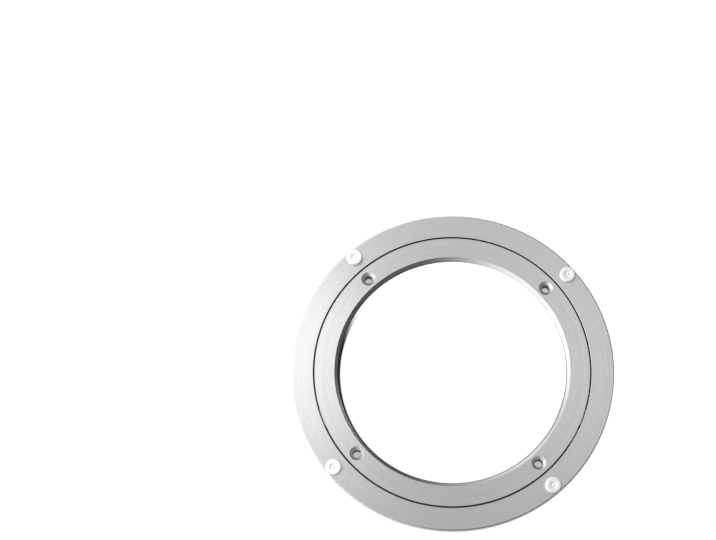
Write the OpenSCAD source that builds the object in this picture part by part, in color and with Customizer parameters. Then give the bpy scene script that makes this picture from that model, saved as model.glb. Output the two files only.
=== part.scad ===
// Turntable ring bearing: two flat turned aluminium rings, one inside the other, that roll on a caged row
// of steel balls. The inner ring is screwed under the turning board. The outer ring stands on four feet.
// It is drawn feet up, lying on the inner ring's board face. Z is the axis of turning, and z = 0 is that face.

/* [Rings] */
// Diameter over the outer ring
outer_d = 200; // [150:1:400]
// Width of the outer ring on its face
outer_w = 13.9; // [11.6:0.1:20]
// Width of the open seam between the two rings
seam_gap = 0.9; // [0.5:0.1:1.2]
// Width of the inner ring, from the opening to the seam
inner_w = 14.7; // [12.2:0.1:22]
// Thickness of the outer ring
outer_t = 8; // [6.6:0.1:12]
// How far the inner ring stands out past the outer one on the board side
proud = 0.5; // [0.3:0.1:1.5]

/* [Edges] */
// Width of the bevel round the opening on the feet side, mostly at 45 degrees
bore_bevel = 2.4; // [1.3:0.1:3.5]
// Width of the steep narrow edge that ends the bevel
bore_edge = 0.6; // [0.3:0.1:1]
// Height of that edge
bore_edge_h = 1; // [0.7:0.1:1.5]
// Chamfer round the opening on the board side
back_chamfer = 0.5; // [0.2:0.1:1]
// Radius of the rounded edges of the rim
rim_round = 0.7; // [0.4:0.1:2]
// Broken edge beside the seam
edge_break = 0.15; // [0.05:0.05:0.2]

/* [Ball race] */
// Diameter of a ball
ball_d = 4; // [3.2:0.1:4.8]
// Number of balls
ball_count = 36; // [24:1:48]
// Gap between a ball and the groove it rolls in
race_play = 0.1; // [0.08:0.01:0.15]
// Depth of the cage channel behind the lips of the outer ring
channel_depth = 1; // [0.8:0.1:1.2]
// Gap round the cage in its channel
cage_play = 0.3; // [0.2:0.05:0.4]
// Height of the cage above and below a pocket
cage_web = 0.75; // [0.6:0.05:0.9]
// Gap between a ball and its pocket in the cage
pocket_play = 0.15; // [0.1:0.01:0.2]
// Width of the cut that lets the cage spring into the channel
cage_split = 0.8; // [0.5:0.1:1.5]

/* [Loading plug] */
// How much wider than a ball the hole is that they are put in through
load_play = 1; // [0.5:0.1:1.2]
// Gap between the plug and its hole
plug_play = 0.05; // [0.02:0.01:0.1]
// How far the plug's end stays back from the groove
plug_gap = 1; // [0.5:0.1:2]
// How far the plug sits below the rim
plug_sink = 0.7; // [0.3:0.1:1]
// Width across the flats of the plug's hexagon socket
socket_af = 2.5; // [2:0.1:3]
// Depth of the socket
socket_depth = 2.4; // [1:0.1:3]

/* [Screw holes] */
// Number of screw holes in the inner ring
hole_count = 4; // [3:1:8]
// Distance from the seam to the middle of a screw hole
hole_inset = 6.6; // [5.4:0.1:8]
// Diameter of a screw hole
hole_d = 5; // [3.4:0.1:5.8]
// Diameter of the countersink at the face
sink_d = 8.8; // [6.8:0.1:10]
// Angle from a foot to the nearest screw hole
hole_turn = 1.7; // [-20:0.1:20]

/* [Feet] */
// Number of feet
foot_count = 4; // [3:1:6]
// Distance from the rim to the middle of a foot
foot_inset = 5.2; // [4.2:0.1:6]
// Diameter of a foot
foot_d = 9.8; // [7.8:0.1:11]
// Height of a foot above the ring
foot_h = 2.2; // [1.5:0.1:5]
// Radius of the foot's rounded edge
foot_round = 1; // [0.3:0.1:1.2]
// Diameter of the round dish in the foot
dimple_d = 5; // [3:0.1:5.4]
// Depth of the dish
dimple_depth = 0.7; // [0.3:0.1:1.2]
// Diameter of the dome in the dish
nub_d = 2.2; // [0.5:0.1:2.4]
// Height of the dome
nub_h = 0.6; // [0.2:0.1:0.8]
// Diameter of the foot's stem
stem_d = 4.2; // [3:0.1:5]
// Gap between the stem and its hole
stem_play = 0.1; // [0.05:0.01:0.2]
// Diameter of the barb at the stem's end
barb_d = 5.8; // [5.2:0.1:7]
// Length of the barb
barb_len = 1.8; // [1:0.1:2.2]
// Gap round the barb in the pocket that it snaps out in
barb_play = 0.3; // [0.2:0.05:0.4]
// Depth of that pocket
pocket_depth = 2.5; // [2.1:0.1:3]

/* [Hidden] */
// Radii of the rings
rim_r = outer_d / 2;
lip_r = rim_r - outer_w;
channel_r = lip_r + channel_depth;
inner_r = lip_r - seam_gap;
bore_r = inner_r - inner_w;

// Heights: the board face of the inner ring is zero, and both rings end flush on the feet side
total_t = proud + outer_t;
race_z = proud + outer_t / 2;

// The ball circle lies midway between the inner ring and the channel's wall. The channel is as high as the
// cage needs, and the lips that close it at both faces are what it leaves of the ring's thickness.
ball_r = ball_d / 2;
pitch_r = (inner_r + channel_r) / 2;
groove_r = ball_r + race_play;
ball_step = 360 / ball_count;

// Cage, centred in the channel
cage_in_r = inner_r + cage_play;
cage_out_r = channel_r - cage_play;
cage_h = ball_d + 2 * (pocket_play + cage_web);
channel_h = cage_h + 2 * cage_play;

// Loading hole and plug
load_hole_d = ball_d + load_play;
plug_in_r = pitch_r + groove_r + plug_gap;
plug_len = rim_r - plug_sink - plug_in_r;

// The feet stand close to the rim, and the plug lies midway between two of them
foot_step = 360 / foot_count;
foot_from = foot_step / 2;
foot_circle_r = rim_r - foot_inset;
hole_circle_r = inner_r - hole_inset;
pocket_d = barb_d + 2 * barb_play;
plug_angle = foot_step;

// One overrun for every cut
over = 1;
// Fineness of the round faces
$fn = 96;

function foot_name(i) = str("foot_", i);
function ball_name(i) = str("ball_", i < 10 ? "0" : "", i);

// What a rounded corner leaves of a square one: the corner point is at the origin, and the solid lies
// towards minus x and minus y
module corner_waste(radius) {
    difference() {
        translate([-radius, -radius]) square(radius + over);
        translate([-radius, -radius]) circle(radius);
    }
}

// The groove that the balls roll in, as it is cut from both rings
module race_cut() {
    translate([pitch_r, race_z]) circle(groove_r);
}

// Outer ring: section of the blank, with the cage channel and the groove turned into its inside
module outer_ring_section() {
    difference() {
        polygon([
            [lip_r + edge_break, proud],
            [rim_r, proud],
            [rim_r, total_t],
            [lip_r + edge_break, total_t],
            [lip_r, total_t - edge_break],
            [lip_r, proud + edge_break]
        ]);
        translate([rim_r, total_t]) corner_waste(rim_round);
        translate([rim_r, proud]) mirror([0, 1]) corner_waste(rim_round);
        translate([lip_r - over, race_z - channel_h / 2])
            square([channel_depth + over, channel_h]);
        race_cut();
    }
}

// Hole for a foot's stem, with the pocket on the board side that its barb snaps out in
module foot_hole() {
    translate([0, 0, proud - over]) cylinder(h = outer_t + 2 * over, d = stem_d + 2 * stem_play);
    translate([0, 0, proud - over]) cylinder(h = pocket_depth + over, d = pocket_d);
}

module outer_ring() {
    color("gainsboro")
    difference() {
        rotate_extrude() outer_ring_section();
        for (i = [1:foot_count])
            rotate([0, 0, foot_from + (i - 1) * foot_step])
                translate([foot_circle_r, 0, 0])
                    foot_hole();
        rotate([0, 0, plug_angle])
            translate([pitch_r, 0, race_z])
                rotate([0, 90, 0])
                    cylinder(h = rim_r - pitch_r + over, d = load_hole_d);
    }
}

// Inner ring: section with the bevelled opening and the groove in its outside
module inner_ring_section() {
    difference() {
        polygon([
            [bore_r + back_chamfer, 0],
            [inner_r - edge_break, 0],
            [inner_r, edge_break],
            [inner_r, total_t - edge_break],
            [inner_r - edge_break, total_t],
            [bore_r + bore_bevel, total_t],
            [bore_r + bore_edge, total_t - bore_bevel + bore_edge],
            [bore_r, total_t - bore_bevel + bore_edge - bore_edge_h],
            [bore_r, back_chamfer]
        ]);
        race_cut();
    }
}

// Screw hole, countersunk at 90 degrees from the feet side
module screw_hole() {
    sink_depth = (sink_d - hole_d) / 2;
    translate([0, 0, -over]) cylinder(h = total_t + 2 * over, d = hole_d);
    translate([0, 0, total_t - sink_depth])
        cylinder(h = sink_depth + over, d1 = hole_d, d2 = sink_d + 2 * over);
}

module inner_ring() {
    color("gainsboro")
    difference() {
        rotate_extrude() inner_ring_section();
        for (i = [1:hole_count])
            rotate([0, 0, foot_from + hole_turn + (i - 1) * 360 / hole_count])
                translate([hole_circle_r, 0, 0])
                    screw_hole();
    }
}

// Cage: a split strip of nylon bent to a ring, with a round pocket for each ball
module ball_cage() {
    color("dimgray")
    difference() {
        rotate_extrude()
            translate([cage_in_r, race_z - cage_h / 2]) square([cage_out_r - cage_in_r, cage_h]);
        for (i = [1:ball_count])
            rotate([0, 0, i * ball_step])
                translate([cage_in_r - over, 0, race_z])
                    rotate([0, 90, 0])
                        cylinder(h = cage_out_r - cage_in_r + 2 * over, r = ball_r + pocket_play);
        rotate([0, 0, ball_step / 2])
            translate([cage_in_r - over, -cage_split / 2, race_z - cage_h / 2 - over])
                cube([cage_out_r - cage_in_r + 2 * over, cage_split, cage_h + 2 * over]);
    }
}

module ball(i) {
    color("silver")
    rotate([0, 0, i * ball_step])
        translate([pitch_r, 0, race_z])
            sphere(ball_r);
}

// Plug: a grub screw that closes the loading hole, with its socket outwards
module loading_plug() {
    socket_r = socket_af / sqrt(3);
    color("slategray")
    rotate([0, 0, plug_angle])
        translate([plug_in_r, 0, race_z])
            rotate([0, 90, 0])
                difference() {
                    cylinder(h = plug_len, d = load_hole_d - 2 * plug_play);
                    translate([0, 0, plug_len - socket_depth])
                        cylinder(h = socket_depth + over, r = socket_r, $fn = 6);
                }
}

// Radius of the round cap that is so wide and so high
function cap_r(width, height) = (width * width / 4 + height * height) / (2 * height);

// The half of a disc that lies right of the axis
module half_disc(radius) {
    intersection() {
        circle(radius);
        translate([0, -radius]) square([radius, 2 * radius]);
    }
}

// Foot: section of the soft push-in button, from its barb up to its rounded head, which has a round dish
// with a low dome in it. The stem is as long as the ring is thick above the barb's pocket, so head and
// barb grip the ring between them.
module foot_section() {
    barb_z = proud + pocket_depth;
    head_z = total_t + foot_h;
    dish_r = cap_r(dimple_d, dimple_depth);
    dome_r = cap_r(nub_d, nub_h);
    difference() {
        polygon([
            [0, barb_z - barb_len],
            [stem_d / 2, barb_z - barb_len],
            [barb_d / 2, barb_z],
            [stem_d / 2, barb_z],
            [stem_d / 2, total_t],
            [foot_d / 2, total_t],
            [foot_d / 2, head_z],
            [0, head_z]
        ]);
        translate([foot_d / 2, head_z]) corner_waste(foot_round);
        difference() {
            translate([0, head_z - dimple_depth + dish_r]) half_disc(dish_r);
            translate([0, head_z - dimple_depth + nub_h - dome_r]) half_disc(dome_r);
        }
    }
}

module foot(i) {
    color("white")
    rotate([0, 0, foot_from + (i - 1) * foot_step])
        translate([foot_circle_r, 0, 0])
            rotate_extrude() foot_section();
}

outer_ring();
inner_ring();
ball_cage();
loading_plug();
for (i = [1:foot_count])
    foot(i);
for (i = [1:ball_count])
    ball(i);
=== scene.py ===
from math import cos, radians, sin

import bpy
import numpy as np
from mathutils import Matrix, Vector

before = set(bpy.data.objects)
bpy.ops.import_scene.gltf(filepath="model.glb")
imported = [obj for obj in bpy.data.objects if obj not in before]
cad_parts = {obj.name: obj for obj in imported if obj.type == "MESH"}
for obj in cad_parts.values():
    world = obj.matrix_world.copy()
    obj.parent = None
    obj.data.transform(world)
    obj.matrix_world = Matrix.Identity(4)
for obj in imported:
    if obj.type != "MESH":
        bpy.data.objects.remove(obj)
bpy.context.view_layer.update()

# The camera stands a metre over the bearing and leans 14 degrees from upright, turned a little
# against the feet. The bearing lies right of and below the middle of the picture, so the lens is
# shifted, not turned.
lean, roll, walk_round = radians(13.83), radians(-2.16), radians(2.57)
distance = 1.0
face_height = 0.0085
picture = 716
picture_height = 540
pixels_per_metre = 1619.2
bearing_at = (452.43, 369.67)
across = Vector((cos(walk_round), sin(walk_round), 0))
upward = Vector((-sin(walk_round) * cos(lean), cos(walk_round) * cos(lean), sin(lean)))
towards = across.cross(upward)
picture_right = cos(roll) * across - sin(roll) * upward
picture_up = sin(roll) * across + cos(roll) * upward
eye = bpy.data.objects.new("camera", bpy.data.cameras.new("camera"))
eye.data.sensor_width = 36
eye.data.lens = pixels_per_metre * distance / picture * 36
eye.data.shift_x = (picture / 2 - bearing_at[0]) / picture
eye.data.shift_y = (bearing_at[1] - picture_height / 2) / picture
eye.data.clip_start, eye.data.clip_end = 0.01, 20
turned = Matrix((picture_right, picture_up, towards)).transposed().to_4x4()
eye.matrix_world = Matrix.Translation(Vector((0, 0, face_height)) + distance * towards) @ turned
bpy.context.scene.collection.objects.link(eye)
bpy.context.scene.camera = eye


# The table is a wide sheet of matt white board, lit from below so that it looks plain white. Where
# it glows is painted light and shade: the metal finds it glowing only close to the rings, a painted
# light, and under the rings it glows half as much, a painted shade. The metal mirrors the dark room
# under it at a flat angle, and in the opening's lower left, where the ring's shadow would fall, as a
# painted shadow; there a thin line of contact shadow is painted on the board too.
class Shade:
    """A socket of a node tree. Arithmetic on it adds Math nodes, and node() adds any other node."""

    def __init__(self, tree, socket=None):
        self.tree, self.socket = tree, socket

    def node(self, kind, settings=None, sockets=None, out=0):
        """Adds a node of the kind, sets its settings, then gives its sockets their values or links."""
        made = self.tree.nodes.new("ShaderNode" + kind)
        for name, value in (settings or {}).items():
            setattr(made, name, value)
        for name, value in (sockets or {}).items():
            if isinstance(value, Shade):
                self.tree.links.new(value.socket, made.inputs[name])
            else:
                made.inputs[name].default_value = value
        return Shade(self.tree, made.outputs[out] if made.outputs else None)

    def beside(self, out):
        """Another output of the node that this socket comes from."""
        return Shade(self.tree, self.socket.node.outputs[out])

    def ramp(self, low, high, start=0.0, end=1.0):
        """Goes from start to end as this socket goes from low to high, level at both ends."""
        return self.node(
            "MapRange",
            {"interpolation_type": "SMOOTHSTEP"},
            {"Value": self, 1: low, 2: high, 3: start, 4: end},
        )

    def mixed(self, colour, other):
        """The colour where this socket is 0, the other colour where it is 1, and their mix between."""
        return self.node("Mix", {"data_type": "RGBA"}, {0: self, 6: colour, 7: other}, out=2)

    def maths(self, operation, *terms):
        """The Math node's operation on this socket, or on the terms in their order."""
        return self.node("Math", {"operation": operation}, dict(enumerate(terms or (self,))))

    def __add__(self, other):
        return self.maths("ADD", self, other)

    def __radd__(self, other):
        return self.maths("ADD", other, self)

    def __sub__(self, other):
        return self.maths("SUBTRACT", self, other)

    def __rsub__(self, other):
        return self.maths("SUBTRACT", other, self)

    def __mul__(self, other):
        return self.maths("MULTIPLY", self, other)

    def __rmul__(self, other):
        return self.maths("MULTIPLY", other, self)

    def __pow__(self, other):
        return self.maths("POWER", self, other)


def bare(block):
    """Empties a new material's or world's node tree, and gives the socket class for it."""
    block.use_nodes = True
    block.node_tree.nodes.clear()
    return Shade(block.node_tree)


def grey(level):
    """A colour with the same share of red, green and blue."""
    return (level, level, level, 1)


table_size = 6.0
table_glow = 1.02
ring_middle, half_ring = 0.08525, 0.012  # the board is dimmer where the rings cover it
glow_middle, half_glow = 0.084, 0.018  # the metal finds the board bright only here
opening = 0.0715
contact_from, contact_full = 0.0694, 0.0702
corner = table_size / 2
sheet = bpy.data.meshes.new("table")
sheet.from_pydata(
    np.array([(-corner, -corner, 0), (corner, -corner, 0), (corner, corner, 0), (-corner, corner, 0)])
    - (0, 0, 0.00002),
    [],
    np.array([(0, 1, 2, 3)]),
)
table = bpy.data.objects.new("table", sheet)
bpy.context.scene.collection.objects.link(table)
board = bpy.data.materials.new("white_board")
shade = bare(board)
place = shade.node("TexCoord", out=3)
fibre = shade.node("TexNoise", sockets={"Vector": place, "Scale": 900.0, "Detail": 3.0})
across_x = shade.node("SeparateXYZ", sockets={0: place})
across_y = across_x.beside(1)
out_from_middle = (across_x * across_x + across_y * across_y) ** 0.5
seen = shade.node("LightPath", out=0)
from_ring = (out_from_middle - ring_middle).maths("ABSOLUTE")
# painted shade: the board glows half as much where the rings cover it
painted_shade_under_rings = shade.maths("LESS_THAN", from_ring, half_ring)
# painted light: the metal finds the board glowing only close to the rings
painted_glow_near_rings = shade.maths("LESS_THAN", (out_from_middle - glow_middle).maths("ABSOLUTE"), half_glow)
in_opening = shade.maths("LESS_THAN", out_from_middle, opening)
grazed = shade.node("LayerWeight", sockets={"Blend": 0.5}, out=1).ramp(0.2, 0.45)
# painted shadow: in the opening's lower left, where the ring's shadow would fall on the board, the metal
# sees through it to the dark room
shadow_side = (across_x * -0.8 - across_y * 0.6).ramp(0.025, 0.05)
mirrors_room = shade.maths("MAXIMUM", grazed, shadow_side * in_opening)
# painted contact shadow: a thin dark line on the board at the foot of the opening's wall, on its lower left
contact = out_from_middle.ramp(contact_from, contact_full) * shadow_side * in_opening
matt = shade.node(
    "BsdfPrincipled",
    sockets={
        "Base Color": shade.maths("MAXIMUM", contact, seen).mixed(grey(0.75), grey(0.0)),
        "Roughness": 0.7 + 0.1 * fibre,
        "Specular IOR Level": 0.1,
        "Emission Color": grey(1),
        "Emission Strength": table_glow
        * (1 - 0.5 * painted_shade_under_rings)
        * (1 - contact)
        * shade.maths("MAXIMUM", seen, painted_glow_near_rings),
    },
)
clear = shade.node("BsdfTransparent")
shown = shade.node("MixShader", sockets={0: mirrors_room * (1 - seen), 1: matt, 2: clear})
shade.node("OutputMaterial", sockets={"Surface": shown})
table.data.materials.append(board)


# The light is two soft boxes to the left, one low and one high, in a room that is bright on the
# left, dark along the right horizon and below, and brightest overhead towards the back. Pale walls
# all round, from 20 degrees up, keep the metal silver when it is seen from a low side.
for name, lamp_round, lamp_up, lamp_away, lamp_wide, lamp_high, lamp_watts in (
    ("low_soft_box", radians(172), radians(33), 0.45, 0.5, 0.3, 1.45),
    ("high_soft_box", radians(182), radians(55), 0.40, 1.0, 0.2, 0.36),
):
    lamp = bpy.data.objects.new(name, bpy.data.lights.new(name, "AREA"))
    lamp.data.shape = "RECTANGLE"
    lamp.data.size, lamp.data.size_y = lamp_wide, lamp_high
    lamp.data.energy = lamp_watts
    lamp.location = lamp_away * Vector(
        (cos(lamp_round) * cos(lamp_up), sin(lamp_round) * cos(lamp_up), sin(lamp_up))
    )
    lamp.rotation_mode = "QUATERNION"
    lamp.rotation_quaternion = lamp.location.to_track_quat("Z", "Y")
    bpy.context.scene.collection.objects.link(lamp)

room = bpy.data.worlds.new("room")
shade = bare(room)
way = shade.node("TexCoord", out=0)
way_x = shade.node("SeparateXYZ", sockets={0: way})
way_y, way_z = way_x.beside(1), way_x.beside(2)
leftness = (way_x * -0.99 + way_y * -0.05).ramp(-0.4, 0.8)
overhead = way_z.ramp(0.4, 0.95)
below = (way_z * -1).ramp(0.2, 0.45, 1.0, 0.1)
walls = way_z.ramp(0.3, 0.45, 0.0, 0.36)
low = (0.08 + walls * (1 - leftness) + 1.16 * leftness) * below
high = shade.maths("MAXIMUM", 0.40 + 1.01 * way_y, 0.03)
level = low * (1 - overhead) + high * overhead
seen = shade.node("LightPath", out=0)
sky = shade.node("Background", sockets={"Color": grey(1), "Strength": level * (1 - seen) + 1.05 * seen})
shade.node("OutputWorld", sockets={"Surface": sky})
bpy.context.scene.world = room
bpy.context.scene.view_settings.view_transform = "Standard"


# The outer ring is turned from aluminium plate on a lathe, which leaves fine rings round its face,
# and its rim is rounded over. It carries the feet and the plug.
def turned_aluminium(name, face_from, dark_from, dark_to, holes=None):
    """Bare aluminium with the tool's fine rings round the axis, a noise of the radius alone. Inside
    the radius face_from it is polished. Between the radii dark_from and dark_to, the walls of the
    seam, and in the drilled holes, it is rougher and coloured dark grey, a painted shade. The holes,
    given as their circle's radius, the first one's angle, and the radii of countersink and drill,
    have rings of their own: the four fold onto one, at the larger of |x| and |y| once they are
    turned to lie on the axes."""
    metal = bpy.data.materials.new(name)
    shade = bare(metal)
    place = shade.node("TexCoord", out=3)
    x = shade.node("SeparateXYZ", sockets={0: place})
    y = x.beside(1)
    radius = (x * x + y * y) ** 0.5
    bevel = shade.maths("LESS_THAN", radius, face_from)
    grain = shade.node("TexNoise", sockets={"Vector": place, "Scale": 900.0, "Detail": 2.0})
    # painted shade: the walls of the seam are coloured dark grey and made rougher
    from_cut = (radius - (dark_from + dark_to) / 2).maths("ABSOLUTE")
    painted_shade_zone = shade.maths("LESS_THAN", from_cut, (dark_to - dark_from) / 2)
    turned_at = radius
    in_sink = 0.0
    if holes:
        circle, angle, sink, drill = holes
        along = (x * cos(angle) + y * sin(angle)).maths("ABSOLUTE")
        aside = (y * cos(angle) - x * sin(angle)).maths("ABSOLUTE")
        out = shade.maths("MAXIMUM", along, aside) - circle
        off = shade.maths("MINIMUM", along, aside)
        from_hole = (out * out + off * off) ** 0.5
        in_sink = shade.maths("LESS_THAN", from_hole, sink)
        # painted shade in the drilled holes too
        drilled = shade.maths("LESS_THAN", from_hole, drill)
        painted_shade_zone = shade.maths("MAXIMUM", painted_shade_zone, drilled)
        turned_at = radius * (1 - in_sink) + from_hole * in_sink
    fine = {"W": turned_at, "Scale": 2600.0, "Detail": 4.0, "Roughness": 0.7}
    coarse = {"W": turned_at, "Scale": 420.0, "Detail": 2.0}
    tracks = shade.node("TexNoise", {"noise_dimensions": "1D"}, fine)
    bands = shade.node("TexNoise", {"noise_dimensions": "1D"}, coarse)
    height = (tracks - 0.5) * (1 - 0.7 * bevel) + 0.4 * grain
    skin = {
        "Base Color": painted_shade_zone.mixed(
            (bands * 0.35 + grain * 0.65).mixed(grey(0.665), grey(0.875)), grey(0.25)
        ),
        "Metallic": 1.0,
        "Roughness": 0.36 + 0.08 * (tracks - 0.5) + 0.05 * (bands - 0.5) - 0.20 * bevel + 0.3 * painted_shade_zone,
        "Normal": shade.node("Bump", sockets={"Strength": 0.35, "Distance": 0.00002, "Height": height}),
    }
    turned = shade.node("BsdfPrincipled", sockets={**skin, "Anisotropic": 0.6, "Anisotropic Rotation": 0.25})
    sunk = shade.node("BsdfPrincipled", sockets=skin)
    both = shade.node("MixShader", sockets={0: in_sink, 1: turned, 2: sunk})
    shade.node("OutputMaterial", sockets={"Surface": both})
    return metal


def finish_with(names, material):
    """Puts the material in every slot of the CAD nodes."""
    for name in names:
        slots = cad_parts[name].material_slots
        for number in range(len(slots)):
            slots[number].material = material


no_bevel = 0.0
# painted shade: the walls of the seam between these radii are coloured dark grey
seam_from, seam_to = 0.0855, 0.08613
finish_with(["outer_ring"], turned_aluminium("outer_ring_aluminium", no_bevel, seam_from, seam_to))


# The inner ring is the same plate, turned with a wide polished bevel round the opening and
# countersunk for four screws.
hole_circle, first_hole, sink_radius, drill_radius = 0.0786, radians(46.7), 0.0044, 0.00255
bevel_edge = 0.0729
# painted shade: the walls of the seam between these radii are coloured dark grey
seam_from, seam_to = 0.08504, 0.0862
inner_aluminium = turned_aluminium(
    "inner_ring_aluminium",
    bevel_edge,
    seam_from,
    seam_to,
    (hole_circle, first_hole, sink_radius, drill_radius),
)
finish_with(["inner_ring"], inner_aluminium)


# The cage is a strip of black nylon between the rings, split once so that it can be sprung in.
def moulded_nylon():
    """Black nylon with a faint mottle."""
    nylon = bpy.data.materials.new("black_nylon")
    shade = bare(nylon)
    place = shade.node("TexCoord", out=3)
    mottle = shade.node("TexNoise", sockets={"Vector": place, "Scale": 300.0, "Detail": 4.0})
    tint = mottle.mixed((0.012, 0.012, 0.013, 1), (0.03, 0.03, 0.032, 1))
    skin = shade.node("BsdfPrincipled", sockets={"Base Color": tint, "Roughness": 0.38 + 0.1 * mottle})
    shade.node("OutputMaterial", sockets={"Surface": skin})
    return nylon


finish_with(["ball_cage"], moulded_nylon())


# The balls are ground and polished steel, 36 of them, one in each pocket of the cage.
def polished_steel(name, roughness, grain):
    """Steel with a fine cloudiness of the grain's size in its polish."""
    steel = bpy.data.materials.new(name)
    shade = bare(steel)
    place = shade.node("TexCoord", out=3)
    cloud = shade.node("TexNoise", sockets={"Vector": place, "Scale": grain, "Detail": 5.0})
    tint = cloud.mixed((0.60, 0.60, 0.61, 1), grey(0.68))
    skin = shade.node(
        "BsdfPrincipled",
        sockets={"Base Color": tint, "Metallic": 1.0, "Roughness": roughness + 0.08 * cloud},
    )
    shade.node("OutputMaterial", sockets={"Surface": skin})
    return steel


ball_names = [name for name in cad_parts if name.startswith("ball_") and name != "ball_cage"]
finish_with(ball_names, polished_steel("ball_polish", 0.05, 900.0))


# The plug is a headless set screw that closes the hole where the balls went in.
finish_with(["loading_plug"], polished_steel("plug_polish", 0.25, 2500.0))


# The four feet are moulded from white rubber and pushed into the outer ring by their barbed stems.
def white_rubber():
    """Soft white rubber, matt, with the fine grain of its mould."""
    rubber = bpy.data.materials.new("white_rubber")
    shade = bare(rubber)
    place = shade.node("TexCoord", out=3)
    grain = shade.node("TexNoise", sockets={"Vector": place, "Scale": 4000.0, "Detail": 3.0})
    cast = shade.node("TexNoise", sockets={"Vector": place, "Scale": 250.0, "Detail": 2.0})
    tint = cast.mixed((0.90, 0.90, 0.895, 1), (0.94, 0.94, 0.935, 1))
    pores = shade.node("Bump", sockets={"Strength": 0.1, "Distance": 0.00003, "Height": grain})
    skin = shade.node(
        "BsdfPrincipled",
        sockets={"Base Color": tint, "Roughness": 0.5 + 0.1 * grain, "Normal": pores},
    )
    shade.node("OutputMaterial", sockets={"Surface": skin})
    return rubber


finish_with([f"foot_{number}" for number in range(1, 5)], white_rubber())
